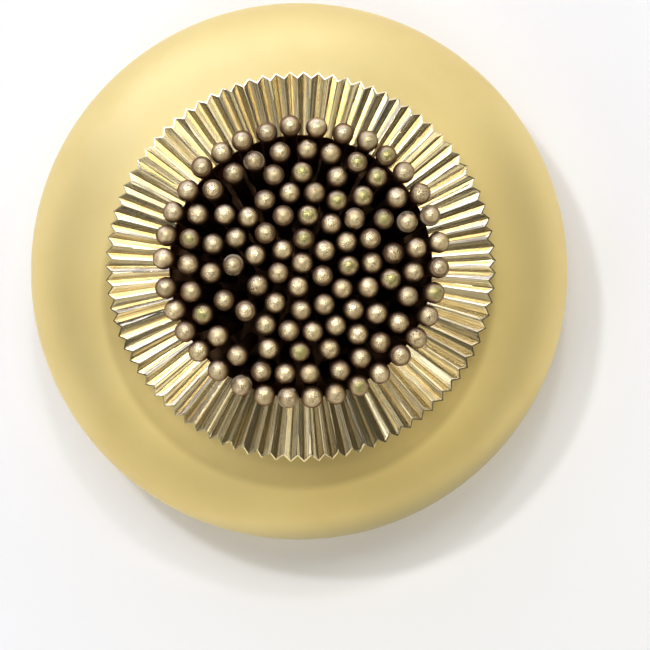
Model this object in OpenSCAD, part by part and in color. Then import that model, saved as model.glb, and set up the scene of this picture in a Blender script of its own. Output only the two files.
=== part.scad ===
// Flower frog: a low round brass vessel, and a lift-out insert of ball-headed pins inside a fluted collar.
// The origin is the centre of the felt's underside. +Z points up, and the insert lifts out along it.

/* [Vessel] */
// Widest diameter of the vessel
body_d = 90; // [89:0.5:94]
// Height of the widest line above the table
equator_z = 15; // [14:0.5:16]
// Rise of the dome's full ellipse above the widest line
dome_rise = 22; // [21.5:0.25:23]
// Height of the flat land round the mouth
land_z = 31.4; // [31.2:0.1:31.6]
// Thickness of the spun brass
wall = 1.6; // [1.4:0.1:1.8]
// Radius of the foot
foot_r = 27; // [26:0.5:29]
// Height of the raised floor over the ballast
floor_z = 8.6; // [7.5:0.1:10]
// Thickness of the felt pad
felt_t = 1.5; // [1.2:0.1:2]

/* [Collar] */
// Number of flutes
flute_count = 87; // [60:1:100]
// Radius of the hole in the collar
bore_r = 21.3; // [21.3:0.1:21.6]
// Radius at which the ridges end
ridge_end_r = 30.9; // [30.5:0.1:31.2]
// Radius at which the valleys end
valley_end_r = 31.8; // [31.6:0.1:32.2]
// Height of the ridges
ridge_z = 34.3; // [34.2:0.1:35]
// Depth of the flutes at the rim
flute_depth = 1.05; // [0.8:0.05:1.2]

/* [Pins] */
// Diameter of the ball on each pin
ball_d = 3.5; // [3.2:0.05:3.5]
// Diameter of each pin's rod
rod_d = 2.7; // [2.4:0.05:2.75]
// Height of the outermost balls' centres
ball_z = 48.4; // [46:0.2:50]
// How much higher the middle balls stand
crown = 1; // [0:0.1:2]
// How far the balls are knocked out of their even rings
disorder = 0.55; // [0:0.05:0.9]

/* [Hidden] */
$fn = 96;
arc_steps = 32;
fit_gap = 0.02;                // between pieces brazed or pressed together
cut = 1;                       // how far a cutting shape runs past what it cuts

// Vessel
body_r = body_d / 2;
base_z = 1;                    // underside of the brass foot; the felt stands proud of it
seam_z = equator_z - 1.5;      // the two spun halves meet here, just below the widest line
lap_h = 2.5;                   // height of the lower half's lip inside the upper half
lap_r = body_r - wall / 2;
side_w = body_r - foot_r;      // width and height of the rounded lower side
side_h = equator_z - base_z;
recess_r = foot_r - wall;      // pocket under the raised floor
mouth_r = 28.6;                // opening in the dome
seat_z = land_z - 2;           // the insert's flange rests here, below the land
seat_t = 1.4;

// Base
ballast_t = 3.8;
cover_t = 1.2;
ballast_r = recess_r - 0.3;

// Insert
cup_r = bore_r + 1;
slide_gap = 0.3;
seat_bore_r = cup_r + slide_gap;
flange_r = mouth_r - 1 - slide_gap;
flange_t = 1.2;
flange_top_z = seat_z + flange_t;
cup_bottom_z = 18;
lip_t = 1.2;
lip_w = 2.3;
slot_count = 8;
slot_w = 6;
slot_h = 4;
plate_z = cup_bottom_z + lip_t;
plate_t = 3;
plate_top_z = plate_z + plate_t;
rim_z = land_z + 0.1;          // lower edge of the collar's rim
rim_band = 0.35;               // plain band under the valleys' ends
under_z = land_z + 0.3;

screw_count = 4;
screw_circle_r = 25.2;
screw_r = 1;
head_r = 1.9;
head_t = 1;
drive_w = 0.5;                 // slot for the screwdriver
drive_t = 0.5;
screw_top_z = flange_top_z + 1.8;

// Pins
spigot_r = 1;                  // the pin's thinner end, pressed into the plate
shoulder = 0.6;                // the full rod starts this far above the plate
ring_places = [1, 6, 12, 18, 18, 27, 34];
ring_radii = [0.4, 4, 7.6, 11.1, 14.3, 17.8, 21.5];
ring_turns = [0, 26, -6, 0, 7, -5, -1];
left_out = [[], [], [], [10], [6, 11], [], []];   // places in each ring that hold no pin
outer_ball_r = 21.9;
outer_foot_r = 17;
foot_scale = 0.785;            // the pins splay: their feet stand closer to the axis
foot_pitch = 2.95;
ball_pitch = ball_d + 0.28;
height_spread = 0.35;
seed = 11;

// ---- outlines ----

// Points on an ellipse with semi-axes a and b about (x, z), from angle t0 to t1
function arc(x, z, a, b, t0, t1) =
    [for (i = [0 : arc_steps]) let (t = t0 + (t1 - t0) * i / arc_steps) [x + a * cos(t), z + b * sin(t)]];

// Half section of the vessel's wall, from the mouth down the outside and back up the inside
function vessel_outline() =
    let (outer_end = asin((land_z - equator_z) / dome_rise),
         inner_top_z = land_z - wall,
         inner_end = asin((inner_top_z - equator_z) / (dome_rise - wall)))
    concat(
        [[mouth_r, land_z]],
        arc(0, equator_z, body_r, dome_rise, outer_end, 0),
        arc(foot_r, equator_z, side_w, side_h, 0, -90),
        [[recess_r, base_z], [recess_r, floor_z - wall], [0, floor_z - wall], [0, floor_z], [foot_r, floor_z]],
        arc(foot_r, equator_z, side_w - wall, side_h - wall, -90, 0),
        arc(0, equator_z, body_r - wall, dome_rise - wall, 0, inner_end),
        [[mouth_r, inner_top_z]]);

// ---- the pins' places ----

rings = len(ring_places);
ring_counts = [for (k = [0 : rings - 1]) ring_places[k] - len(left_out[k])];
ring_starts = [for (k = 0, s = 0; k < rings; s = s + ring_counts[k], k = k + 1) s];
pin_total = ring_starts[rings - 1] + ring_counts[rings - 1];
even_places = [for (k = [0 : rings - 1], i = [0 : ring_places[k] - 1])
    let (a = 360 * i / ring_places[k] + ring_turns[k])
    if (len(search(i, left_out[k])) == 0) ring_radii[k] * [cos(a), sin(a)]];
push_x = rands(-disorder, disorder, pin_total, seed);
push_y = rands(-disorder, disorder, pin_total, seed + 1);
lift = rands(-height_spread, height_spread, pin_total, seed + 2);

function held_in(p, limit) = let (r = norm(p)) r > limit ? p * limit / r : p;
function total(v, i = 0, sum = [0, 0]) = i == len(v) ? sum : total(v, i + 1, sum + v[i]);

// Moves each pair of points that is closer than pitch apart, and keeps all within the limit radius
function spread_once(p, pitch, limit) = [for (i = [0 : len(p) - 1])
    held_in(p[i] + total([for (j = [0 : len(p) - 1])
        let (d = p[i] - p[j], l = norm(d)) if (j != i && l < pitch) 0.52 * (pitch - l) * d / l]), limit)];
function spread(p, pitch, limit, steps) =
    steps == 0 ? p : spread(spread_once(p, pitch, limit), pitch, limit, steps - 1);

knocked_places = [for (i = [0 : pin_total - 1]) even_places[i] + [push_x[i], push_y[i]]];
ball_places = spread(knocked_places, ball_pitch, outer_ball_r, 10);
foot_places = spread(ball_places * foot_scale, foot_pitch, outer_foot_r, 12);
function ball_height(i) = ball_z + crown * (1 - pow(norm(ball_places[i]) / outer_ball_r, 2)) + lift[i];

// ---- shared shapes ----

module ring_tube(r_out, r_in, z0, z1) {
    translate([0, 0, z0])
        difference() {
            cylinder(r = r_out, h = z1 - z0);
            translate([0, 0, -cut]) cylinder(r = r_in, h = z1 - z0 + 2 * cut);
        }
}

// One pin: an upright spigot in the plate, a leaning rod and a ball
module pin(i) {
    foot = [foot_places[i].x, foot_places[i].y, plate_top_z + shoulder];
    ball = [ball_places[i].x, ball_places[i].y, ball_height(i)];
    lean = ball - foot;
    translate([foot.x, foot.y, plate_z]) cylinder(r = spigot_r, h = plate_t + shoulder + rod_d / 2);
    translate(foot)
        rotate([0, acos(lean.z / norm(lean)), atan2(lean.y, lean.x)])
            cylinder(d = rod_d, h = norm(lean));
    translate(ball) sphere(d = ball_d);
}

module pin_ring(k) {
    color("#6b5233")
        for (i = [0 : ring_counts[k] - 1])
            pin(ring_starts[k] + i);
}

module at_screws() {
    for (i = [0 : screw_count - 1])
        rotate([0, 0, 45 + 360 * i / screw_count])
            translate([screw_circle_r, 0, 0])
                children();
}

// A countersunk screw, driven upwards from below the flange; clear makes the hole for it
module screw(clear = 0) {
    translate([0, 0, seat_z + fit_gap]) cylinder(r1 = head_r + clear, r2 = screw_r + clear, h = head_t);
    translate([0, 0, seat_z + head_t / 2])
        cylinder(r = screw_r + clear, h = screw_top_z + clear - seat_z - head_t / 2);
}

module screw_hole() {
    screw(fit_gap);
    translate([0, 0, seat_z - cut]) cylinder(r = head_r + fit_gap, h = cut + 2 * fit_gap);
}

// ---- the vessel ----

module vessel() {
    rotate_extrude() polygon(vessel_outline());
}

module upper_shell() {
    color("#d8bf72")
        difference() {
            vessel();
            translate([0, 0, -cut]) cylinder(r = body_r + cut, h = seam_z + cut);
            translate([0, 0, seam_z - cut]) cylinder(r = lap_r + fit_gap, h = lap_h + cut + fit_gap);
        }
}

module lower_bowl() {
    color("#d0b566")
        difference() {
            vessel();
            translate([0, 0, seam_z + lap_h]) cylinder(r = body_r + cut, h = land_z);
            ring_tube(body_r + cut, lap_r, seam_z, seam_z + lap_h + cut);
        }
}

// Turned ring brazed into the mouth: it gives the insert a true bore and a sunk seat
module mouth_ring() {
    color("#b89a55") {
        ring_tube(mouth_r, seat_bore_r, seat_z - seat_t, seat_z);
        ring_tube(mouth_r, mouth_r - 1, seat_z - seat_t, land_z);
        ring_tube(mouth_r + 0.9, mouth_r - 1, seat_z - seat_t, land_z - wall);
    }
}

module ballast_disc() {
    color("#3c3c3e")
        translate([0, 0, felt_t + cover_t])
            cylinder(r = ballast_r, h = ballast_t);
}

module base_cover() {
    color("#b08f4a")
        translate([0, 0, felt_t])
            cylinder(r = recess_r - fit_gap, h = cover_t);
}

module base_felt() {
    color("#1f3a2b")
        cylinder(r = ballast_r, h = felt_t);
}

// ---- the insert ----

// Drawn cup that hangs in the mouth by its flange, with slots that let the water in
module frog_cup() {
    color("#7a5f38")
        difference() {
            union() {
                ring_tube(cup_r, bore_r, cup_bottom_z, flange_top_z);
                ring_tube(flange_r, cup_r - 0.5, seat_z, flange_top_z);
                ring_tube(cup_r, bore_r - lip_w, cup_bottom_z, plate_z);
            }
            for (i = [0 : slot_count - 1])
                rotate([0, 0, 360 * (i + 0.5) / slot_count])
                    translate([bore_r - cut, -slot_w / 2, plate_top_z + shoulder])
                        cube([2 * cut + 1, slot_w, slot_h]);
            at_screws() screw_hole();
        }
}

module pin_plate() {
    color("#4d3a22")
        difference() {
            translate([0, 0, plate_z]) cylinder(r = bore_r - fit_gap, h = plate_t);
            for (p = foot_places)
                translate([p.x, p.y, plate_z - cut]) cylinder(r = spigot_r + fit_gap, h = plate_t + 2 * cut);
        }
}

// Radial section of the collar: a flute's depth grows with radius, so that its two faces are flat
function collar_section(valley) =
    let (end_r = valley ? valley_end_r : ridge_end_r,
         drop = valley ? flute_depth : 0)
    [[bore_r, ridge_z - drop * bore_r / valley_end_r],
     [end_r, ridge_z - drop],
     [valley_end_r, ridge_z - flute_depth - rim_band],
     [valley_end_r, rim_z],
     [valley_end_r - 1.4, under_z],
     [flange_r, under_z],
     [flange_r, flange_top_z],
     [bore_r, flange_top_z]];

module collar_blank() {
    stations = 2 * flute_count;
    m = len(collar_section(true));
    points = [for (s = [0 : stations - 1], p = collar_section(s % 2 == 1))
        let (a = 360 * s / stations) [p.x * cos(a), p.x * sin(a), p.y]];
    function at(s, k) = (s % stations) * m + k % m;
    faces = [for (s = [0 : stations - 1], k = [0 : m - 1])
        each s % 2 == 0
            ? [[at(s, k), at(s, k + 1), at(s + 1, k + 1)], [at(s, k), at(s + 1, k + 1), at(s + 1, k)]]
            : [[at(s, k), at(s, k + 1), at(s + 1, k)], [at(s, k + 1), at(s + 1, k + 1), at(s + 1, k)]]];
    polyhedron(points, faces, convexity = 10);
}

module fluted_collar() {
    color("#e0c878")
        difference() {
            collar_blank();
            at_screws() screw_hole();
        }
}

module collar_screws() {
    color("#9c8048")
        at_screws()
            difference() {
                screw();
                translate([-head_r - cut, -drive_w / 2, seat_z - cut]) cube([2 * (head_r + cut), drive_w, cut + drive_t]);
            }
}

upper_shell();
lower_bowl();
mouth_ring();
ballast_disc();
base_cover();
base_felt();
frog_cup();
pin_plate();
fluted_collar();
collar_screws();
pin_ring(0);  // pin_centre
pin_ring(1);  // pins_ring_1
pin_ring(2);  // pins_ring_2
pin_ring(3);  // pins_ring_3
pin_ring(4);  // pins_ring_4
pin_ring(5);  // pins_ring_5
pin_ring(6);  // pins_ring_6
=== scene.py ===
"""Flower frog: a low satin brass vessel with a fluted collar and a thicket of ball-headed pins."""

import math
import random

import bpy
import numpy as np
from mathutils import Matrix, Vector, noise


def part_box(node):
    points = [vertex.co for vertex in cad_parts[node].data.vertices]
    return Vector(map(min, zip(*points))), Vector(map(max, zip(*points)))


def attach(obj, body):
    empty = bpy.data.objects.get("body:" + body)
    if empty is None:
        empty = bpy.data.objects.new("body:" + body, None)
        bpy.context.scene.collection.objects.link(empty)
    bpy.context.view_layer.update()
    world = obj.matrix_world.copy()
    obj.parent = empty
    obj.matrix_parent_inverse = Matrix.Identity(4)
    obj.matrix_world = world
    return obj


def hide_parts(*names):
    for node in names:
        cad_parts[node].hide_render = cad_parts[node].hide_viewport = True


bl_info = {
    "name": "Flower Frog",
    "version": (1, 0, 0),
    "blender": (4, 5, 0),
    "location": "View3D > Sidebar > Frog",
    "description": "Makes the shells, collar, pins and felt of a brass flower frog round its packed frame",
    "category": "Add Mesh",
}

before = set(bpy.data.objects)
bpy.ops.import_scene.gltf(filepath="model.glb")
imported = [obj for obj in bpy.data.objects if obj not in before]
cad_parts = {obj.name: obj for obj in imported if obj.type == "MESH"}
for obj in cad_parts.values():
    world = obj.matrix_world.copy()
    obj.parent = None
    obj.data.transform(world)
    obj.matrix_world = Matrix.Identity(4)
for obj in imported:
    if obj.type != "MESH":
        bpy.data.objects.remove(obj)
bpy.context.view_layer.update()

MM = 0.001
SHELL_LOW, SHELL_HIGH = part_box("upper_shell")
BOWL_LOW, BOWL_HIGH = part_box("lower_bowl")
COLLAR_LOW, COLLAR_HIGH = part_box("fluted_collar")
FELT_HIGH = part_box("base_felt")[1]
PLATE_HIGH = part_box("pin_plate")[1]
BODY_R = SHELL_HIGH.x
PIN_RINGS = ["pin_centre"] + [f"pins_ring_{k}" for k in range(1, 7)]
AIM_HEIGHT = 15 * MM      # the height that the lights and the camera face
ARC_STEPS = 40            # straight pieces in each arc of a turned outline
EDGE_EASE = 0.12 * MM     # how far a sharp turned edge is broken
HUB = 0.5 * MM            # radius of the hole at the axis, which is filled once a piece is turned

CREST_FLAT = 0.035        # how much of a flute's depth is worn off each ridge
RIM_LIP = 0.10 * MM       # the broken lower edge of the collar's rim
GABLE_BEVEL = 0.24 * MM   # width of the bevel at the outer end of each flute
GABLE_DROP = 0.78         # the bevel's drop, in shares of its width
BORE_BREAK = 0.06 * MM    # how far the inner end of each flute is rubbed down

WELD = 0.001 * MM         # corners nearer than this are taken as one
PIN_STAND = 0.6 * MM      # height above the plate at which a rod's leaning part starts
NECK = 0.93               # radius of the ball's open underside, in shares of the rod's
SKIN_INSET = 0.012 * MM   # how far a casting is drawn in, to leave room for its lumps
SHOULDER_STEP = 0.925     # a worn ball's width above its shoulder, in shares of the width below
NO_SHOULDER = 2.0         # above the top of the ball, in shares of its radius
SEAM_RISE = 0.02          # how far above the shoulder its dark line lies, in the same shares
SEAM_WIDTH = 0.10

GROUPS = {}               # the shared node groups, by key
MATERIALS = {}            # the finishes, by name


# ---- settings ----


class FrogVessel(bpy.types.PropertyGroup):
    """Measures and colours of the vessel and its felt"""
    equator: bpy.props.FloatProperty(
        name="Widest height", description="Height of the widest line", default=15 * MM, unit="LENGTH")
    dome_rise: bpy.props.FloatProperty(
        name="Dome rise", description="Rise of the dome's full ellipse", default=22 * MM, unit="LENGTH")
    wall: bpy.props.FloatProperty(
        name="Wall", description="Thickness of the spun brass", default=1.6 * MM, unit="LENGTH")
    foot: bpy.props.FloatProperty(
        name="Foot radius", description="Radius of the foot", default=27 * MM, unit="LENGTH")
    floor: bpy.props.FloatProperty(
        name="Floor", description="Height of the raised floor", default=8.6 * MM, unit="LENGTH")
    mouth: bpy.props.FloatProperty(
        name="Mouth radius", description="Radius of the opening in the dome", default=28.6 * MM,
        unit="LENGTH")
    segments: bpy.props.IntProperty(
        name="Segments", description="Faces round each turned piece", default=256, min=64, max=400)
    colour: bpy.props.FloatVectorProperty(
        name="Satin brass", description="Colour of the vessel's brass", subtype="COLOR", size=3,
        default=(0.88, 0.71, 0.30))
    felt_colour: bpy.props.FloatVectorProperty(
        name="Felt", description="Colour of the felt pad", subtype="COLOR", size=3,
        default=(0.020, 0.050, 0.030))


class FrogCollar(bpy.types.PropertyGroup):
    """Measures and colour of the collar"""
    flutes: bpy.props.IntProperty(
        name="Flutes", description="Number of flutes round the collar", default=87, min=24, max=120)
    bore: bpy.props.FloatProperty(
        name="Bore radius", description="Radius of the hole in the collar", default=21.3 * MM,
        unit="LENGTH")
    ridge_end: bpy.props.FloatProperty(
        name="Ridge end", description="Radius at which the ridges end", default=30.8 * MM, unit="LENGTH")
    depth: bpy.props.FloatProperty(
        name="Depth", description="Depth of a flute at the rim", default=0.95 * MM, unit="LENGTH")
    unevenness: bpy.props.FloatProperty(
        name="Unevenness", description="How far hand cutting has moved each flute", default=1.0,
        min=0, max=2)
    colour: bpy.props.FloatVectorProperty(
        name="Polished brass", description="Colour of the collar", subtype="COLOR", size=3,
        default=(0.82, 0.71, 0.46))


class FrogPins(bpy.types.PropertyGroup):
    """Measures and colours of the pins"""
    ball: bpy.props.FloatProperty(
        name="Ball", description="Diameter of the ball on each pin", default=3.5 * MM, unit="LENGTH")
    rod: bpy.props.FloatProperty(
        name="Rod", description="Diameter of each pin's rod", default=2.7 * MM, unit="LENGTH")
    lumps: bpy.props.FloatProperty(
        name="Lumps", description="Height of the casting's lumps", default=0.05 * MM, unit="LENGTH")
    colour: bpy.props.FloatVectorProperty(
        name="Bronze", description="Colour of the rubbed bronze", subtype="COLOR", size=3,
        default=(0.93, 0.76, 0.47))
    # this colour also serves as painted shade round the balls' rims and down the rods
    dark: bpy.props.FloatVectorProperty(
        name="Patina", description="Colour of the unrubbed bronze", subtype="COLOR", size=3,
        default=(0.17, 0.094, 0.048))


# ---- modelling helpers ----


def deselect():
    """Leaves edit mode, with nothing selected."""
    if bpy.context.mode != "OBJECT":
        bpy.ops.object.mode_set(mode="OBJECT")
    bpy.ops.object.select_all(action="DESELECT")


def arc(x, z, a, b, t0, t1, steps=ARC_STEPS):
    """Points on the ellipse of semi-axes a and b about (x, z), from angle t0 to t1 in degrees."""
    turns = [math.radians(t0 + (t1 - t0) * i / steps) for i in range(steps + 1)]
    return [(x + a * math.cos(t), z + b * math.sin(t)) for t in turns]


def turned(name, outline, segments, filled=False):
    """A turned piece: a circle that is extruded and resized from point to point of its half section."""
    deselect()
    r, z = outline[0]
    bpy.ops.mesh.primitive_circle_add(vertices=segments, radius=r, location=(0, 0, z))
    piece = bpy.context.active_object
    piece.name = name
    bpy.ops.object.transform_apply(location=True)
    bpy.ops.object.mode_set(mode="EDIT")
    for (r0, z0), (r1, z1) in zip(outline, outline[1:]):
        bpy.ops.mesh.extrude_edges_move(TRANSFORM_OT_translate={"value": (0, 0, z1 - z0)})
        if abs(r1 - r0) > 1e-9:
            bpy.ops.transform.resize(value=(r1 / r0, r1 / r0, 1), center_override=(0, 0, z1))
    bpy.ops.mesh.select_all(action="SELECT")
    bpy.ops.mesh.remove_doubles(threshold=1e-6)
    if filled:
        bpy.ops.mesh.select_all(action="DESELECT")
        bpy.ops.mesh.select_non_manifold()
        bpy.ops.mesh.fill_holes(sides=0)
        bpy.ops.mesh.select_all(action="SELECT")
    bpy.ops.mesh.normals_make_consistent(inside=False)
    bpy.ops.object.mode_set(mode="OBJECT")
    return piece


def smooth(piece, degrees=32):
    """Smooth shading, with an edge wherever two faces meet at more than this angle."""
    deselect()
    piece.select_set(True)
    bpy.context.view_layer.objects.active = piece
    bpy.ops.object.shade_smooth_by_angle(angle=math.radians(degrees))


def give_material(piece, finish):
    """Makes one of the finishes the piece's only material."""
    piece.data.materials.clear()
    piece.data.materials.append(MATERIALS[finish])


def finish_piece(piece, body, nodes, slot):
    """Gives a finished piece its material and its body, and hides the nodes that it stands for."""
    give_material(piece, slot)
    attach(piece, body)
    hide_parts(*nodes)


# ---- shader node groups ----


def new_group(name, inputs, outputs):
    """An empty shader node group with named sockets, and its input and output nodes."""
    group = bpy.data.node_groups.new(name, "ShaderNodeTree")
    for label, kind, value in inputs:
        socket = group.interface.new_socket(label, in_out="INPUT", socket_type=kind)
        if value is not None:
            socket.default_value = value
    for label, kind in outputs:
        group.interface.new_socket(label, in_out="OUTPUT", socket_type=kind)
    return group, group.nodes.new("NodeGroupInput"), group.nodes.new("NodeGroupOutput")


def add(tree, kind, **settings):
    """A new node with its properties and input values set, and its input links made."""
    node = tree.nodes.new(kind)
    for key, value in settings.items():
        if hasattr(node, key):
            setattr(node, key, value)
            continue
        label = key.replace("_", " ").title() if key not in ("a", "b", "c") else key
        socket = node.inputs["abc".index(key)] if key in ("a", "b", "c") else node.inputs[label]
        if isinstance(value, bpy.types.NodeSocket):
            tree.links.new(value, socket)
        else:
            socket.default_value = value
    return node


def math_node(tree, operation, a, b=0.0, c=0.0, clamp=False):
    """The result of one Math node on values or sockets."""
    node = add(tree, "ShaderNodeMath", operation=operation, use_clamp=clamp, a=a, b=b, c=c)
    return node.outputs[0]


def ramp(tree, factor, low, high):
    """0 below low, 1 above high, smooth between."""
    node = add(tree, "ShaderNodeMapRange", interpolation_type="SMOOTHSTEP")
    tree.links.new(factor, node.inputs["Value"])
    node.inputs["From Min"].default_value = low
    node.inputs["From Max"].default_value = high
    return node.outputs["Result"]


def mixed(tree, factor, first, second):
    """The first colour where the factor is 0, the second where it is 1."""
    node = add(tree, "ShaderNodeMix", data_type="RGBA")
    for socket, value in zip((node.inputs[0], node.inputs[6], node.inputs[7]), (factor, first, second)):
        if isinstance(value, bpy.types.NodeSocket):
            tree.links.new(value, socket)
        elif socket.type == "RGBA":
            socket.default_value = (*value, 1)
        else:
            socket.default_value = value
    return node.outputs[2]


def darker(colour, red, green, blue):
    """A colour with each of its parts scaled down."""
    return [part * scale for part, scale in zip(colour, (red, green, blue))]


def noise_node(tree, vector, scale, detail=3.0, roughness=0.55):
    """Cloudy noise from 0 to 1, with this many lumps in a metre."""
    node = add(tree, "ShaderNodeTexNoise", scale=scale, detail=detail, roughness=roughness)
    tree.links.new(vector, node.inputs["Vector"])
    return node.outputs["Fac"]


def polar(tree, vector, across, along, height):
    """The point as (angle, radius, height), each stretched, for marks that follow a turned piece."""
    parts = add(tree, "ShaderNodeSeparateXYZ")
    tree.links.new(vector, parts.inputs[0])
    x, y, z = parts.outputs
    angle = math_node(tree, "ARCTAN2", y, x)
    radius = math_node(tree, "SQRT", math_node(tree, "ADD", math_node(tree, "MULTIPLY", x, x),
                                               math_node(tree, "MULTIPLY", y, y)))
    joined = add(tree, "ShaderNodeCombineXYZ")
    for value, stretch, socket in zip((angle, radius, z), (across, along, height), joined.inputs):
        tree.links.new(math_node(tree, "MULTIPLY", value, stretch), socket)
    return joined.outputs[0]


def off_axis(tree, vector, x, y):
    """The distance of a point from the upright line through (x, y)."""
    shifted = add(tree, "ShaderNodeMapping", vector_type="POINT")
    tree.links.new(vector, shifted.inputs["Vector"])
    shifted.inputs["Location"].default_value = (-x, -y, 0)
    shifted.inputs["Scale"].default_value = (1, 1, 0)
    length = add(tree, "ShaderNodeVectorMath", operation="LENGTH")
    tree.links.new(shifted.outputs[0], length.inputs[0])
    return length.outputs["Value"]


def tarnish_group():
    """Cloudy, finger-rubbed tarnish: a mask from 0, bright, to 1, dulled, and a mask of fine specks."""
    group, given, out = new_group(
        "Cloudy Tarnish",
        [("Vector", "NodeSocketVector", None), ("Scale", "NodeSocketFloat", 60.0),
         ("Spread", "NodeSocketFloat", 0.5)],
        [("Mask", "NodeSocketFloat"), ("Specks", "NodeSocketFloat")])
    broad = noise_node(group, given.outputs["Vector"], 20.0, 4.0)
    group.links.new(given.outputs["Scale"], broad.node.inputs["Scale"])
    fine = noise_node(group, given.outputs["Vector"], 900.0, 4.0, 0.65)
    cloud = ramp(group, broad, 0.38, 0.68)
    mask = math_node(group, "MULTIPLY", cloud, given.outputs["Spread"])
    group.links.new(math_node(group, "ADD", mask, math_node(group, "MULTIPLY", fine, 0.12), clamp=True),
                    out.inputs["Mask"])
    group.links.new(ramp(group, fine, 0.60, 0.74), out.inputs["Specks"])
    return group


def scratches_group():
    """The height of fine scratches and a few deeper ones, drawn out by the stretch of the vector."""
    group, given, out = new_group(
        "Fine Scratches", [("Vector", "NodeSocketVector", None), ("Coarse", "NodeSocketFloat", 1.0)],
        [("Height", "NodeSocketFloat")])
    fine = noise_node(group, given.outputs["Vector"], 1.0, 2.0, 0.6)
    group.links.new(given.outputs["Coarse"], fine.node.inputs["Scale"])
    deep = add(group, "ShaderNodeTexVoronoi", feature="DISTANCE_TO_EDGE")
    group.links.new(given.outputs["Vector"], deep.inputs["Vector"])
    deep.inputs["Scale"].default_value = 0.35
    line = math_node(group, "SUBTRACT", 1.0, ramp(group, deep.outputs["Distance"], 0.0, 0.05))
    group.links.new(math_node(group, "SUBTRACT", fine, math_node(group, "MULTIPLY", line, 0.35)),
                    out.inputs["Height"])
    return group


def pits_group():
    """The pitted, grainy skin of a small casting: a height, and a mask of the pits."""
    group, given, out = new_group(
        "Casting Pits", [("Vector", "NodeSocketVector", None), ("Amount", "NodeSocketFloat", 0.5)],
        [("Height", "NodeSocketFloat"), ("Pits", "NodeSocketFloat")])
    cells = add(group, "ShaderNodeTexVoronoi", feature="F1")
    group.links.new(given.outputs["Vector"], cells.inputs["Vector"])
    cells.inputs["Scale"].default_value = 2300.0
    cells.inputs["Randomness"].default_value = 1.0
    patch = noise_node(group, given.outputs["Vector"], 900.0, 2.0)
    reach = math_node(group, "MULTIPLY_ADD", given.outputs["Amount"], 0.42,
                      math_node(group, "MULTIPLY_ADD", patch, 0.5, -0.28))
    pit = math_node(group, "MULTIPLY", math_node(group, "SUBTRACT", reach, cells.outputs["Distance"]), 6.0,
                    clamp=True)
    grain = noise_node(group, given.outputs["Vector"], 2700.0, 4.0, 0.72)
    group.links.new(math_node(group, "SUBTRACT", math_node(group, "MULTIPLY", grain, 1.5), pit),
                    out.inputs["Height"])
    group.links.new(pit, out.inputs["Pits"])
    return group


def group_node(tree, key, **inputs):
    """Places one of the shared groups, built once, with its own values."""
    makers = {"tarnish": tarnish_group, "scratches": scratches_group, "pits": pits_group}
    if key not in GROUPS:
        GROUPS[key] = makers[key]()
    node = tree.nodes.new("ShaderNodeGroup")
    node.node_tree = GROUPS[key]
    for label, value in inputs.items():
        socket = node.inputs[label.title()]
        if isinstance(value, bpy.types.NodeSocket):
            tree.links.new(value, socket)
        else:
            socket.default_value = value
    return node


def new_material(name, metallic=1.0):
    """A material with its tree, its Principled BSDF and the object's own coordinates."""
    material = bpy.data.materials.new(name)
    material.use_nodes = True
    tree = material.node_tree
    shader = tree.nodes["Principled BSDF"]
    shader.inputs["Metallic"].default_value = metallic
    place = tree.nodes.new("ShaderNodeTexCoord").outputs["Object"]
    return material, tree, shader, place


def bump(tree, shader, height, depth, strength=1.0, under=None):
    """Relief of this depth on the shader's normal, over another relief if one is given."""
    node = tree.nodes.new("ShaderNodeBump")
    node.inputs["Strength"].default_value = strength
    node.inputs["Distance"].default_value = depth
    tree.links.new(height, node.inputs["Height"])
    if under is not None:
        tree.links.new(under, node.inputs["Normal"])
    tree.links.new(node.outputs["Normal"], shader.inputs["Normal"])
    return node.outputs["Normal"]


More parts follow.
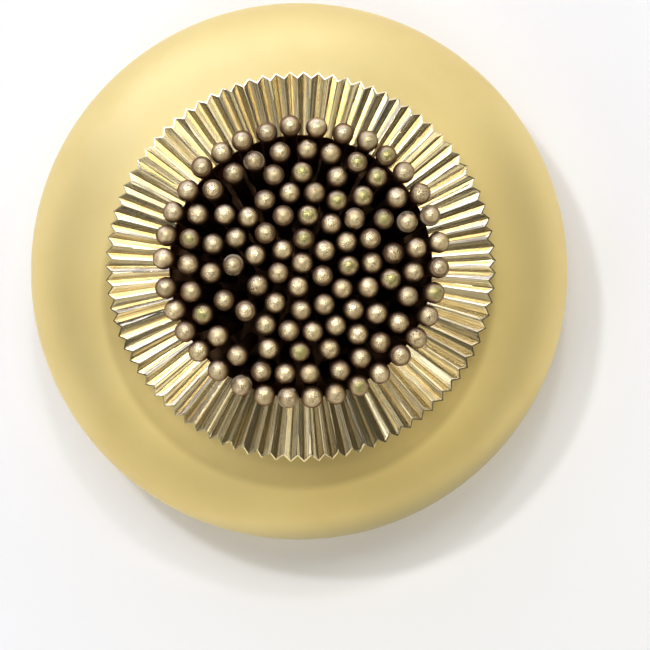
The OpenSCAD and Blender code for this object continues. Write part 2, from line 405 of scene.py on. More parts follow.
def satin_brass(colour):
    """Hand-satined brass: a fine grain, cloudy tarnish and polish strokes. Two areas of the dome are
    painted darker: a painted shadow of the collar and pins, in a crescent beside the collar on its -Y side,
    and painted shade on the vessel's outer edge towards -Y."""
    material, tree, shader, place = new_material("satin_brass", 0.8)
    cloud = group_node(tree, "tarnish", vector=place, scale=34.0, spread=0.5)
    strokes = add(tree, "ShaderNodeMapping", vector_type="POINT")
    tree.links.new(place, strokes.inputs["Vector"])
    strokes.inputs["Rotation"].default_value = (0, 0, math.radians(38))
    strokes.inputs["Scale"].default_value = (60, 420, 60)
    wipe = noise_node(tree, strokes.outputs[0], 1.0, 3.0)
    deep = darker(colour, 0.88, 0.85, 0.74)
    base = mixed(tree, cloud.outputs["Mask"], colour, deep)
    # painted shadow: a crescent on the dome beside the collar, widest towards -Y, darkened as if the collar
    # and pins shaded it
    from_shadow_centre = off_axis(tree, place, -0.4 * MM, -4.2 * MM)
    painted_collar_shadow = math_node(tree, "SUBTRACT", 1.0, ramp(tree, from_shadow_centre, 31.2 * MM, 32.8 * MM))
    uneven = math_node(tree, "MULTIPLY_ADD", cloud.outputs["Mask"], 0.8, 0.6)
    parts = add(tree, "ShaderNodeSeparateXYZ")
    tree.links.new(place, parts.inputs[0])
    on_dome = math_node(tree, "MULTIPLY", ramp(tree, parts.outputs["Z"], 20 * MM, 24 * MM), uneven)
    painted_collar_shadow = math_node(tree, "MULTIPLY", painted_collar_shadow, on_dome, clamp=True)
    base = mixed(tree, painted_collar_shadow, base, darker(colour, 0.70, 0.67, 0.60))
    # painted shade: the vessel's outer edge on the -Y side, a little towards +X, turns dark olive
    from_edge_shade_centre = off_axis(tree, place, -5 * MM, 12 * MM)
    painted_edge_shade = math_node(tree, "MULTIPLY", ramp(tree, from_edge_shade_centre, 53.5 * MM, 58.5 * MM), 0.8)
    base = mixed(tree, painted_edge_shade, base, (0.36, 0.31, 0.15))
    tree.links.new(base, shader.inputs["Base Color"])
    rough = math_node(tree, "MULTIPLY_ADD", cloud.outputs["Mask"], 0.07, 0.46)
    rough = math_node(tree, "MULTIPLY_ADD", wipe, 0.06, rough)
    tree.links.new(rough, shader.inputs["Roughness"])
    grain = noise_node(tree, place, 5200.0, 3.0, 0.7)
    bump(tree, shader, math_node(tree, "MULTIPLY_ADD", wipe, 0.6, grain), 0.006 * MM, 0.6)
    return material


def polished_brass(colour):
    """The collar: bright brass with fine scratches and broader streaks along the flutes, a little cloudy
    tarnish, and a brown darkening in the bottoms of the flutes."""
    material, tree, shader, place = new_material("polished_brass")
    lay = polar(tree, place, 900.0, 110.0, 900.0)
    marks = group_node(tree, "scratches", vector=lay, coarse=1.0)
    cloud = group_node(tree, "tarnish", vector=place, scale=140.0, spread=0.45)
    deep = darker(colour, 0.80, 0.72, 0.55)
    dull = math_node(tree, "MAXIMUM", cloud.outputs["Mask"],
                     math_node(tree, "MULTIPLY", cloud.outputs["Specks"], 0.6))
    groove = add(tree, "ShaderNodeAttribute", attribute_name="groove")
    lengthwise = polar(tree, place, 210.0, 16.0, 16.0)
    streaks = noise_node(tree, lengthwise, 1.0, 3.0, 0.6)
    patchy = math_node(tree, "MULTIPLY_ADD", streaks, 0.8, -0.40)
    # the bottoms of the flutes turn darker brown, in streaks along them
    flute_bottom_darkening = ramp(tree, math_node(tree, "ADD", groove.outputs["Fac"], patchy), 0.82, 1.22)
    base = mixed(tree, dull, colour, deep)
    base = mixed(tree, math_node(tree, "MULTIPLY", ramp(tree, streaks, 0.50, 0.66), 0.5), base, deep)
    base = mixed(tree, math_node(tree, "MULTIPLY", flute_bottom_darkening, 0.6), base, (0.22, 0.15, 0.06))
    tree.links.new(base, shader.inputs["Base Color"])
    rough = math_node(tree, "MULTIPLY_ADD", marks.outputs["Height"], 0.08, 0.11)
    tree.links.new(math_node(tree, "MULTIPLY_ADD", dull, 0.08, rough), shader.inputs["Roughness"])
    drawn = bump(tree, shader, streaks, 0.035 * MM, 0.5)
    bump(tree, shader, marks.outputs["Height"], 0.006 * MM, 0.5, under=drawn)
    return material


def turned_brass():
    """Brass as it left the lathe: fine rings round the axis."""
    material, tree, shader, place = new_material("turned_brass")
    lay = polar(tree, place, 1.5, 9000.0, 9000.0)
    marks = group_node(tree, "scratches", vector=lay, coarse=1.0)
    cloud = group_node(tree, "tarnish", vector=place, scale=90.0, spread=0.6)
    base = mixed(tree, cloud.outputs["Mask"], (0.72, 0.55, 0.27), (0.45, 0.31, 0.14))
    tree.links.new(base, shader.inputs["Base Color"])
    tree.links.new(math_node(tree, "MULTIPLY_ADD", marks.outputs["Height"], 0.18, 0.22),
                   shader.inputs["Roughness"])
    bump(tree, shader, marks.outputs["Height"], 0.02 * MM, 0.5)
    return material


def dark_brass():
    """The wetted brass of the cup and plate: cloudy brown patina with a few greenish specks, kept dark also
    as painted shade for the deep gaps among the pins.
    """
    material, tree, shader, place = new_material("dark_brass")
    cloud = group_node(tree, "tarnish", vector=place, scale=120.0, spread=0.9)
    # partly patina and partly painted shade: the colours are kept dark so that the cup and plate read as
    # the shade deep among the pins
    base = mixed(tree, cloud.outputs["Mask"], (0.22, 0.125, 0.065), (0.09, 0.050, 0.027))
    base = mixed(tree, math_node(tree, "MULTIPLY", cloud.outputs["Specks"], 0.25), base, (0.07, 0.08, 0.05))
    tree.links.new(base, shader.inputs["Base Color"])
    tree.links.new(math_node(tree, "MULTIPLY_ADD", cloud.outputs["Mask"], 0.15, 0.50),
                   shader.inputs["Roughness"])
    skin = noise_node(tree, place, 2600.0, 4.0, 0.65)
    bump(tree, shader, skin, 0.02 * MM, 0.6)
    return material


def cast_iron():
    """The ballast: grey, pitted cast iron with a little rust."""
    material, tree, shader, place = new_material("ballast_iron", 0.85)
    pits = group_node(tree, "pits", vector=place, amount=0.4)
    cloud = group_node(tree, "tarnish", vector=place, scale=80.0, spread=0.8)
    tree.links.new(mixed(tree, cloud.outputs["Mask"], (0.12, 0.12, 0.125), (0.07, 0.055, 0.045)),
                   shader.inputs["Base Color"])
    tree.links.new(math_node(tree, "MULTIPLY_ADD", cloud.outputs["Mask"], 0.2, 0.5),
                   shader.inputs["Roughness"])
    bump(tree, shader, pits.outputs["Height"], 0.05 * MM, 0.8)
    return material


def wool_felt(colour):
    """Pressed wool: fine matted fibres over soft lumps, with pale hairs."""
    material, tree, shader, place = new_material("base_felt", 0.0)
    fibres = add(tree, "ShaderNodeTexNoise", scale=2600.0, detail=6.0, roughness=0.75, distortion=2.5)
    tree.links.new(place, fibres.inputs["Vector"])
    lumps = noise_node(tree, place, 420.0, 3.0)
    pale = [min(1, c * 2.6 + 0.02) for c in colour]
    hairs = ramp(tree, fibres.outputs["Fac"], 0.50, 0.68)
    tree.links.new(mixed(tree, hairs, colour, pale), shader.inputs["Base Color"])
    shader.inputs["Roughness"].default_value = 0.95
    shader.inputs["Sheen Weight"].default_value = 0.5
    shader.inputs["Sheen Roughness"].default_value = 0.5
    height = math_node(tree, "MULTIPLY_ADD", lumps, 0.6, fibres.outputs["Fac"])
    bump(tree, shader, height, 0.12 * MM, 0.9)
    return material


def pin_bronze(colour, dark):
    """Cast pins: champagne bronze on the worn crowns, turning brown towards each ball's rim and down the
    rods, which is partly unworn patina and partly painted shade; brown in the pits. Some have a greenish
    cap, and a few a pale rim round the worn crown."""
    material, tree, shader, place = new_material("pin_bronze")
    shader.inputs["Specular Tint"].default_value = (0.40, 0.25, 0.14, 1)
    traits = {}
    for name in ("rise", "seam", "tone", "pitted", "patina", "rim"):
        traits[name] = add(tree, "ShaderNodeAttribute", attribute_name=name).outputs["Fac"]
    pits = group_node(tree, "pits", vector=place, amount=traits["pitted"])
    cloud = group_node(tree, "tarnish", vector=place, scale=520.0, spread=0.8)
    tone = math_node(tree, "MULTIPLY_ADD", traits["tone"], 0.4, 0.78)
    tinted = add(tree, "ShaderNodeVectorMath", operation="SCALE")
    tinted.inputs[0].default_value = colour
    tree.links.new(tone, tinted.inputs["Scale"])
    worn = mixed(tree, math_node(tree, "MULTIPLY", cloud.outputs["Mask"], 0.6), tinted.outputs[0],
                 darker(colour, 0.50, 0.42, 0.34))
    uneven = math_node(tree, "SUBTRACT", noise_node(tree, place, 900.0, 3.0), 0.5)
    line = math_node(tree, "MULTIPLY_ADD", uneven, 0.5, traits["rise"])
    # worn crowns, and painted shade: the bronze darkens gradually towards each ball's rim and is brown down
    # the rods
    rubbed_and_unshaded = ramp(tree, line, 0.26, 1.02)
    # painted shade: the brown is a little darker further down the rods
    shade = ramp(tree, traits["rise"], -1.6, -0.1)
    cap = math_node(tree, "MULTIPLY", ramp(tree, line, 0.70, 0.95), traits["patina"])
    lip = math_node(tree, "MULTIPLY", ramp(tree, line, 0.10, 0.30),
                    math_node(tree, "SUBTRACT", 1.0, ramp(tree, line, 0.50, 0.62)))
    lip = math_node(tree, "MULTIPLY", math_node(tree, "MULTIPLY", lip, traits["rim"]),
                    ramp(tree, cloud.outputs["Mask"], 0.1, 0.5))
    brown = mixed(tree, shade, darker(dark, 0.9, 0.9, 0.9), dark)
    base = mixed(tree, rubbed_and_unshaded, brown, worn)
    base = mixed(tree, cap, base, (0.46, 0.41, 0.17))
    base = mixed(tree, lip, base, (0.60, 0.52, 0.36))
    grime = math_node(tree, "MAXIMUM", math_node(tree, "MULTIPLY", pits.outputs["Pits"], 0.8),
                      math_node(tree, "MULTIPLY", traits["seam"], 0.85))
    base = mixed(tree, grime, base, dark)
    tree.links.new(base, shader.inputs["Base Color"])
    rough = math_node(tree, "MULTIPLY_ADD", cloud.outputs["Mask"], 0.12, 0.22)
    rough = math_node(tree, "MULTIPLY_ADD", math_node(tree, "SUBTRACT", 1.0, rubbed_and_unshaded), 0.22, rough)
    rough = math_node(tree, "MULTIPLY_ADD", lip, 0.2, rough)
    tree.links.new(math_node(tree, "MULTIPLY_ADD", grime, 0.2, rough), shader.inputs["Roughness"])
    bump(tree, shader, pits.outputs["Height"], 0.07 * MM, 0.9)
    return material


# ---- vessel ----


class FROG_OT_upper_shell(bpy.types.Operator):
    """Makes the domed upper half of the vessel"""
    bl_idname = "frog.upper_shell"
    bl_label = "Upper shell"

    def execute(self, context):
        v = context.scene.frog_vessel
        seam, land = SHELL_LOW.z, SHELL_HIGH.z
        side_w, side_h = BODY_R - v.foot, v.equator - BOWL_LOW.z
        top = math.degrees(math.asin((land - v.equator) / v.dome_rise))
        under = land - v.wall
        inner_top = math.degrees(math.asin((under - v.equator) / (v.dome_rise - v.wall)))
        inner_low = 3             # degrees above the widest line, where the wall's inside starts
        lap = BODY_R - v.wall / 2
        ease = EDGE_EASE
        low = math.degrees(math.asin((seam + ease - v.equator) / side_h))
        dome = arc(0, v.equator, BODY_R, v.dome_rise, top, 0)
        outline = [(v.mouth + ease, land), (dome[0][0] - 3 * ease, land)] + dome[1:]
        outline += arc(v.foot, v.equator, side_w, side_h, 0, low, 4)[1:]
        outline += [(outline[-1][0] - ease, seam), (lap, seam), (lap, BOWL_HIGH.z)]
        outline += [(BODY_R - v.wall, BOWL_HIGH.z)]
        outline += arc(0, v.equator, BODY_R - v.wall, v.dome_rise - v.wall, inner_low, inner_top)
        outline += [(v.mouth, under), (v.mouth, land - ease), (v.mouth + ease, land)]
        piece = turned("spun_upper_shell", outline, v.segments)
        smooth(piece)
        finish_piece(piece, "vessel", ["upper_shell"], "satin_brass")
        return {"FINISHED"}


class FROG_OT_lower_bowl(bpy.types.Operator):
    """Makes the lower half of the vessel, with its foot and raised floor"""
    bl_idname = "frog.lower_bowl"
    bl_label = "Lower bowl"

    def execute(self, context):
        v = context.scene.frog_vessel
        seam, base = SHELL_LOW.z, BOWL_LOW.z
        side_w, side_h = BODY_R - v.foot, v.equator - base
        lap = BODY_R - v.wall / 2
        recess = v.foot - v.wall
        ease = EDGE_EASE
        end = math.degrees(math.asin((seam - ease - v.equator) / side_h))
        inner_low = math.degrees(math.asin(min(1, (BOWL_HIGH.z - v.equator) / (side_h - v.wall))))
        under = v.floor - v.wall
        fit = lap - 0.02 * MM     # slides inside the upper shell's lap
        outline = [(HUB, under), (recess - ease, under), (recess, under - ease),
                   (recess, base + ease), (recess + ease, base)]
        outline += arc(v.foot, v.equator, side_w, side_h, -90, end)
        outline += [(outline[-1][0] - ease, seam), (fit, seam), (fit, BOWL_HIGH.z - ease),
                    (lap - ease, BOWL_HIGH.z), (BODY_R - v.wall, BOWL_HIGH.z)]
        outline += arc(v.foot, v.equator, side_w - v.wall, side_h - v.wall, min(inner_low, 0), -90)
        outline += [(v.foot, v.floor - ease), (v.foot - ease, v.floor), (HUB, v.floor)]
        piece = turned("spun_lower_bowl", outline, v.segments, filled=True)
        smooth(piece)
        finish_piece(piece, "vessel", ["lower_bowl"], "satin_brass")
        return {"FINISHED"}


class FROG_OT_felt(bpy.types.Operator):
    """Makes the felt pad: a pressed disc with a soft, uneven edge"""
    bl_idname = "frog.felt"
    bl_label = "Felt pad"

    def execute(self, context):
        v = context.scene.frog_vessel
        inset, soft, steps = 0.25 * MM, 0.4 * MM, 16
        r, top = FELT_HIGH.x - inset, FELT_HIGH.z
        rings = [r * k / steps for k in range(1, steps)]
        outline = [(x, top) for x in rings] + arc(r - soft, top - soft, soft, soft, 90, 0, 5)
        outline += arc(r - soft, soft, soft, soft, 0, -90, 5) + [(x, 0) for x in reversed(rings)]
        piece = turned("felt_pad", outline, 160, filled=True)
        for vertex in piece.data.vertices:
            place = vertex.co
            wander = noise.noise(place * 900) * 0.12 * MM + noise.noise(place * 4000) * 0.05 * MM
            spread = 1 + wander / max(place.xy.length, r / 4)
            vertex.co = (place.x * spread, place.y * spread, place.z)
        smooth(piece, 60)
        finish_piece(piece, "vessel", ["base_felt"], "base_felt")
        return {"FINISHED"}


# ---- collar ----


class FROG_OT_collar(bpy.types.Operator):
    """Makes the fluted collar: a turned ring whose top is pressed into V-shaped flutes"""
    bl_idname = "frog.collar"
    bl_label = "Fluted collar"

    def execute(self, context):
        c = context.scene.frog_collar
        stations = (0.0, 0.07, 0.34, 0.66, 0.94, 1.0)       # from a ridge's crest to the flute's bottom
        spans = (0.0, 0.012, 0.33, 0.66, 0.97, 0.992, 1.0)  # from the bore to the ridges' ends
        around = 2 * (len(stations) - 1)
        top, rim, under, foot = COLLAR_HIGH.z, COLLAR_HIGH.x, SHELL_HIGH.z + 0.3 * MM, COLLAR_LOW.z
        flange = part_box("frog_cup")[1].x
        lip, bevel = RIM_LIP, GABLE_BEVEL
        rim_foot, rim_width, bore_ring = SHELL_HIGH.z + 0.1 * MM, 1.4 * MM, top - 1.2 * MM
        cut_rings = [c.bore + (c.ridge_end - c.bore) * s for s in spans]
        blank = [(r, top) for r in cut_rings]
        blank += [(rim, top - c.depth - bevel / 2), (rim, rim_foot + lip), (rim - lip, rim_foot),
                  (rim - rim_width, under), (flange, under), (flange, foot), (c.bore, foot),
                  (c.bore, bore_ring), (c.bore, top)]
        segments = c.flutes * around
        piece = turned("fluted_collar_cut", blank, segments)

        dice = random.Random(5)   # turns in shares of the pitch, drops in millimetres
        pitch = 2 * math.pi / c.flutes
        jitter = c.unevenness * pitch
        ridge_turn = [dice.gauss(0, 0.022) * jitter for _ in range(c.flutes)]
        flute_turn = [dice.gauss(0, 0.035) * jitter for _ in range(c.flutes)]
        ridge_drop = [abs(dice.gauss(0, 0.03)) * MM * c.unevenness for _ in range(c.flutes)]
        flute_drop = [c.depth * (1 + dice.gauss(-0.02, 0.035) * c.unevenness) for _ in range(c.flutes)]
        cutter_step = [dice.gauss(0, 0.013) * MM * c.unevenness for _ in range(segments)]
        groove = np.zeros(len(piece.data.vertices), np.float32)
        for vertex in piece.data.vertices:
            r, z = vertex.co.xy.length, vertex.co.z
            cut, edge = z > top - 1e-6, r > rim - 1.5 * lip
            if not (cut or edge):
                continue
            station = round(math.atan2(vertex.co.y, vertex.co.x) / (2 * math.pi) * segments) % segments
            flute, step = divmod(station, around)
            falling = step <= around // 2
            t = stations[step] if falling else stations[around - step]
            ridge = flute if falling else (flute + 1) % c.flutes
            ridge_angle = ridge_turn[ridge] + pitch * (flute if falling else flute + 1)
            valley_angle = flute_turn[flute] + pitch * (flute + 0.5)
            angle = ridge_angle + (valley_angle - ridge_angle) * t
            end = c.ridge_end + (rim - c.ridge_end) * t
            if cut:
                along = (r - c.bore) / (c.ridge_end - c.bore)
                new_r = c.bore + (end - bevel - c.bore) * along
            else:
                new_r = end * r / rim
            slope = max(t, CREST_FLAT)
            depth = (ridge_drop[ridge] * (1 - slope) + flute_drop[flute] * slope) * new_r / rim
            if cut and 0.1 < t < 0.9:
                depth += cutter_step[station]
            if cut and along < 0.001:
                depth += BORE_BREAK
            if edge:
                depth += GABLE_DROP * bevel
            if cut or z > top - c.depth - bevel:
                z = top - depth
            groove[vertex.index] = t
            vertex.co = (new_r * math.cos(angle), new_r * math.sin(angle), z)
        piece.data.attributes.new("groove", "FLOAT", "POINT").data.foreach_set("value", groove)
        smooth(piece, 3)
        finish_piece(piece, "insert", ["fluted_collar"], "polished_brass")
        return {"FINISHED"}


# ---- pins ----


def pin_places(node, ball_r):
    """Each pin's ball centre and the foot of its leaning rod, from the loose parts of a CAD node."""
    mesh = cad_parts[node].data
    points = np.array([v.co for v in mesh.vertices])
    rounded = np.round(points / WELD).astype(np.int64)
    corners = np.unique(rounded, axis=0, return_inverse=True)[1].ravel()
    parent = list(range(corners.max() + 1))

    def root(i):
        while parent[i] != i:
            parent[i] = parent[parent[i]]
            i = parent[i]
        return i

    for face in mesh.polygons:
        first, *rest = [root(corners[i]) for i in face.vertices]
        for other in rest:
            parent[root(other)] = root(first)
    roots = np.array([root(corner) for corner in corners])
    places = []
    for part in sorted(set(roots)):
        own = points[roots == part]
        crown = own[own[:, 2] > own[:, 2].max() - 1.1 * ball_r]
        foot = own[own[:, 2] < PLATE_HIGH.z]
        centre = (crown[:, :2].min(0) + crown[:, :2].max(0)) / 2
        stand = (foot[:, :2].min(0) + foot[:, :2].max(0)) / 2
        ball = Vector((*centre, own[:, 2].max() - ball_r))
        places.append((ball, Vector((*stand, PLATE_HIGH.z + PIN_STAND))))
    return places


def pin_pattern(ball_r, rod_r):
    """One upright pin, its ball's centre at the origin: a sphere whose open underside is drawn down.
    Returns the pin and the height of its lower end."""
    deselect()
    bpy.ops.mesh.primitive_uv_sphere_add(segments=36, ring_count=26, radius=ball_r)
    piece = bpy.context.active_object
    bpy.ops.object.mode_set(mode="EDIT")
    bpy.ops.mesh.select_all(action="SELECT")
    low = -math.sqrt(ball_r**2 - (rod_r * NECK) ** 2)
    bpy.ops.mesh.bisect(plane_co=(0, 0, low), plane_no=(0, 0, -1), clear_outer=True, use_fill=False)
    bpy.ops.mesh.select_all(action="DESELECT")
    bpy.ops.mesh.select_non_manifold()
    steps = [(0.97, -0.10), (1.02, -0.25), (1.0, -0.6)] + [(1.0, -1.6)] * 11
    for grow, drop in steps:
        bpy.ops.mesh.extrude_edges_move(TRANSFORM_OT_translate={"value": (0, 0, drop * MM)})
        low += drop * MM
        bpy.ops.transform.resize(value=(grow, grow, 1), center_override=(0, 0, low))
    bpy.ops.mesh.edge_face_add()
    bpy.ops.mesh.select_all(action="SELECT")
    bpy.ops.mesh.normals_make_consistent(inside=False)
    bpy.ops.object.mode_set(mode="OBJECT")
    return piece, low


class FROG_OT_pins(bpy.types.Operator):
    """Makes the cast pins: one pattern, copied to each pin's place and roughened there"""
    bl_idname = "frog.pins"
    bl_label = "Pins"

    def execute(self, context):
        p = context.scene.frog_pins
        ball_r, rod_r = p.ball / 2, p.rod / 2
        pattern, low = pin_pattern(ball_r, rod_r)
        shape = np.array([v.co for v in pattern.data.vertices])
        dice = random.Random(23)
        for node in PIN_RINGS:
            copies = []
            for place in pin_places(node, ball_r):
                copies.append(self.cast(context, pattern, shape, low, place, dice, ball_r, p))
            deselect()
            for copy in copies:
                copy.select_set(True)
            context.view_layer.objects.active = copies[0]
            if len(copies) > 1:
                bpy.ops.object.join()
            piece = copies[0]
            piece.name = node + "_cast"
            smooth(piece, 50)
            finish_piece(piece, "insert", [node], "pin_bronze")
        bpy.data.objects.remove(pattern)
        return {"FINISHED"}

    def cast(self, context, pattern, shape, low, place, dice, ball_r, p):
        """One copy of the pattern, from a ball down its leaning rod, with its own lumps and traits."""
        ball, foot = place
        copy = pattern.copy()
        copy.data = pattern.data.copy()
        context.collection.objects.link(copy)
        lean = (ball - foot).normalized()
        turn = Vector((0, 0, 1)).rotation_difference(lean).to_matrix()
        spin = Matrix.Rotation(dice.uniform(0, 2 * math.pi), 3, "Z")
        stretch = (ball - foot).length / -low
        pitted = dice.random() ** 6   # a few castings are badly pitted, the rest hardly at all
        oval = dice.uniform(-0.035, 0.02)
        flat = dice.uniform(-0.04, 0.0)
        shoulder = dice.uniform(0.42, 0.66) if dice.random() < 0.4 else NO_SHOULDER
        lumpy = p.lumps * (0.6 + pitted)
        rise = np.empty(len(shape), np.float32)
        seam = np.zeros(len(shape), np.float32)
        for i, vertex in enumerate(copy.data.vertices):
            local = Vector(shape[i])
            height = local.z / ball_r
            on_ball = height > -1
            if on_ball:
                local.x *= 1 + oval
                local.z *= 1 + (flat if height > 0 else 0)
                if height > shoulder:
                    local.xy *= SHOULDER_STEP
                seam[i] = max(0.0, 1 - abs(height - shoulder - SEAM_RISE) / SEAM_WIDTH)
            else:
                local.z = -ball_r + (local.z + ball_r) * stretch
            rise[i] = max(height, -4)     # in ball radii above the ball's centre
            point = ball + turn @ (spin @ local)
            out = turn @ (spin @ Vector((local.x, local.y, local.z if on_ball else 0))).normalized()
            lump = noise.noise(point * 620) * 0.8 + noise.noise(point * 1700) * 0.45
            lump += noise.noise(point * 3600) * 0.4 * pitted
            vertex.co = point + out * (lump * lumpy - SKIN_INSET)
        traits = {
            "rise": rise,
            "seam": seam,
            "tone": dice.random(),
            "pitted": pitted,
            "patina": 1.0 if dice.random() < 0.16 else dice.random() * 0.25,
            "rim": 1.0 if dice.random() < 0.07 else 0.0,
        }
        for name, value in traits.items():
            values = np.full(len(shape), value, np.float32) if np.isscalar(value) else value
            copy.data.attributes.new(name, "FLOAT", "POINT").data.foreach_set("value", values)
        return copy


# ---- metalwork carried over from the frame ----


class FROG_OT_metalwork(bpy.types.Operator):
    """Finishes the turned, pressed and cast pieces inside the vessel and the insert"""
    bl_idname = "frog.metalwork"
    bl_label = "Inner metalwork"

    def execute(self, context):
        finishes = {"turned_brass": ("mouth_ring", "base_cover", "collar_screws"),
                    "dark_brass": ("frog_cup", "pin_plate"), "ballast_iron": ("ballast_disc",)}
        for finish, nodes in finishes.items():
            for node in nodes:
                give_material(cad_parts[node], finish)
        return {"FINISHED"}


# ---- stage ----


COOL, PLAIN, WARM = (0.93, 1.0, 1.42), (1.0, 1.0, 1.0), (1.0, 0.95, 0.80)
# name, azimuth and elevation in degrees, width and height in metres, power in watts, colour
SOFTBOXES = (
    ("key_top", -12, 71, 0.70, 0.34, 2.4, PLAIN),
    ("key_north", 0, 62, 0.08, 0.08, 0.8, PLAIN),
    ("key_north_west", -45, 62, 0.08, 0.08, 2.0, PLAIN),
    ("key_north_east", 55, 60, 0.12, 0.12, 0.21, WARM),
    ("key_west", -105, 67, 0.20, 0.20, 0.08, PLAIN),
    ("high_south", -172, 73, 0.36, 0.30, 0.6, PLAIN),
    ("soft_north", 0, 37, 0.50, 0.45, 0.35, COOL),
    ("soft_north_west", -45, 37, 0.50, 0.45, 0.55, COOL),
    ("soft_west", -92, 37, 0.50, 0.45, 0.74, PLAIN),
    ("soft_south_west", -135, 37, 0.50, 0.45, 1.5, PLAIN),
    ("soft_south", 180, 32, 0.50, 0.40, 0.21, WARM),
    ("soft_south_east", 135, 32, 0.55, 0.45, 1.2, WARM),
    ("soft_east", 92, 32, 0.50, 0.40, 0.65, WARM),
    ("soft_north_east", 48, 37, 0.50, 0.45, 0.95, WARM),
    ("low_north", 0, 11, 0.75, 0.25, 1.8, COOL),
    ("low_north_west", -37, 11, 0.65, 0.25, 1.48, COOL),
    ("low_west", -72, 11, 0.65, 0.25, 0.22, WARM),
    ("low_south", 180, 11, 0.65, 0.25, 0.53, WARM),
    ("low_south_west", -140, 8, 0.65, 0.25, 0.25, WARM),
    ("low_north_east", 39, 11, 0.65, 0.25, 0.6, PLAIN),
)
LIGHT_DISTANCE = 1.0
AMBIENT = 0.06            # strength of the even white light from all round
CAMERA_DISTANCE = 0.6
CAMERA_LEAN = (math.radians(-0.7), math.radians(-2.3))   # off the vertical, towards +X and +Y
CAMERA_AIM = Vector((4.28, -9.06, 0)) * MM               # the point faced, from the body's middle


def area_light(name, azimuth, elevation, width, height, power, colour):
    """A softbox that faces the frog. Azimuth 0 is towards +Y, and it grows towards +X."""
    data = bpy.data.lights.new(name, "AREA")
    data.shape = "ELLIPSE"
    data.size = width
    data.size_y = height
    data.energy = power
    data.color = colour
    lamp = bpy.data.objects.new(name, data)
    a, e = math.radians(azimuth), math.radians(elevation)
    target = Vector((0, 0, AIM_HEIGHT))
    away = Vector((math.sin(a) * math.cos(e), math.cos(a) * math.cos(e), math.sin(e)))
    lamp.location = target + away * LIGHT_DISTANCE
    lamp.rotation_euler = (-away).to_track_quat("-Z", "Y").to_euler()
    bpy.context.scene.collection.objects.link(lamp)


def add_floor(context):
    """The pale floor, which belongs to the stage."""
    deselect()
    bpy.ops.mesh.primitive_plane_add(size=6, location=(0, 0, 0))
    floor = context.active_object
    floor.name = "studio_floor"
    material = bpy.data.materials.new("studio_floor")
    material.use_nodes = True
    shader = material.node_tree.nodes["Principled BSDF"]
    shader.inputs["Base Color"].default_value = (0.97, 0.97, 0.98, 1)
    shader.inputs["Roughness"].default_value = 0.9
    floor.data.materials.append(material)


def add_camera(scene):
    """A long lens almost straight above, its picture's top towards +Y."""
    camera = bpy.data.objects.new("camera", bpy.data.cameras.new("camera"))
    scene.collection.objects.link(camera)
    centre = Vector((0, 0, AIM_HEIGHT))
    lean_x, lean_y = CAMERA_LEAN
    away = Vector((math.sin(lean_x), math.sin(lean_y), 1)).normalized()
    camera.location = centre + away * CAMERA_DISTANCE
    aim = centre + CAMERA_AIM
    forward = (aim - camera.location).normalized()
    right = forward.cross(Vector((0, 1, 0))).normalized()
    up = right.cross(forward)
    camera.rotation_euler = Matrix((right, up, -forward)).transposed().to_euler()
    camera.data.lens = 198
    camera.data.sensor_width = 36
    camera.data.clip_start = 0.01
    scene.camera = camera


class FROG_OT_stage(bpy.types.Operator):
    """Sets the pale floor, the studio lights and the camera"""
    bl_idname = "frog.stage"
    bl_label = "Stage"

    def execute(self, context):
        scene = context.scene
        add_floor(context)
        world = bpy.data.worlds.new("studio")
        scene.world = world
        world.use_nodes = True
        background = world.node_tree.nodes["Background"]
        background.inputs["Color"].default_value = (1, 1, 1, 1)
        background.inputs["Strength"].default_value = AMBIENT
        for softbox in SOFTBOXES:
            area_light(*softbox)
        add_camera(scene)
        scene.view_settings.view_transform = "Standard"
        return {"FINISHED"}


# ---- panel and registration ----


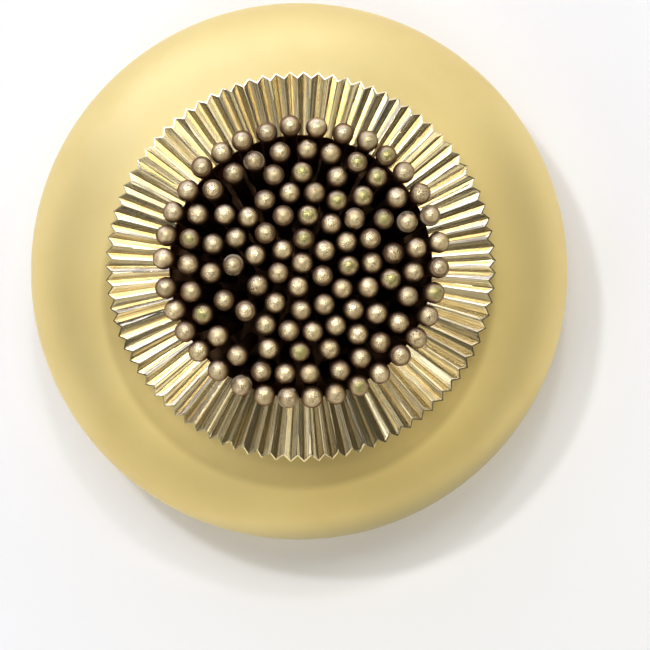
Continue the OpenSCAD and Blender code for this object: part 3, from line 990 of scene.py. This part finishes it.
class FROG_PT_panel(bpy.types.Panel):
    """Shows every setting, and a button for each step"""
    bl_label = "Flower Frog"
    bl_idname = "FROG_PT_panel"
    bl_space_type = "VIEW_3D"
    bl_region_type = "UI"
    bl_category = "Frog"

    def draw(self, context):
        for group in (context.scene.frog_vessel, context.scene.frog_collar, context.scene.frog_pins):
            box = self.layout.box()
            for name in group.__annotations__:
                box.prop(group, name)
        for step in STEPS:
            self.layout.operator(step.bl_idname)


STEPS = (FROG_OT_stage, FROG_OT_upper_shell, FROG_OT_lower_bowl, FROG_OT_felt, FROG_OT_metalwork,
         FROG_OT_collar, FROG_OT_pins)
CLASSES = (FrogVessel, FrogCollar, FrogPins, *STEPS, FROG_PT_panel)


def register():
    """Makes the add-on's classes and settings known to Blender."""
    for cls in CLASSES:
        bpy.utils.register_class(cls)
    bpy.types.Scene.frog_vessel = bpy.props.PointerProperty(type=FrogVessel)
    bpy.types.Scene.frog_collar = bpy.props.PointerProperty(type=FrogCollar)
    bpy.types.Scene.frog_pins = bpy.props.PointerProperty(type=FrogPins)


def unregister():
    """Takes the add-on's classes and settings out again."""
    del bpy.types.Scene.frog_vessel, bpy.types.Scene.frog_collar, bpy.types.Scene.frog_pins
    for cls in reversed(CLASSES):
        bpy.utils.unregister_class(cls)


def make_materials(scene):
    """Makes each finish in the colours of the settings."""
    vessel, collar, pins = scene.frog_vessel, scene.frog_collar, scene.frog_pins
    MATERIALS.update({
        "satin_brass": satin_brass(tuple(vessel.colour)),
        "polished_brass": polished_brass(tuple(collar.colour)),
        "turned_brass": turned_brass(),
        "dark_brass": dark_brass(),
        "ballast_iron": cast_iron(),
        "base_felt": wool_felt(tuple(vessel.felt_colour)),
        "pin_bronze": pin_bronze(tuple(pins.colour), tuple(pins.dark)),
    })


def main():
    """Builds the frog on its stage."""
    register()
    make_materials(bpy.context.scene)
    bpy.ops.frog.stage()
    bpy.ops.frog.upper_shell()
    bpy.ops.frog.lower_bowl()
    bpy.ops.frog.felt()
    bpy.ops.frog.metalwork()
    bpy.ops.frog.collar()
    bpy.ops.frog.pins()


if __name__ == "__main__":
    main()
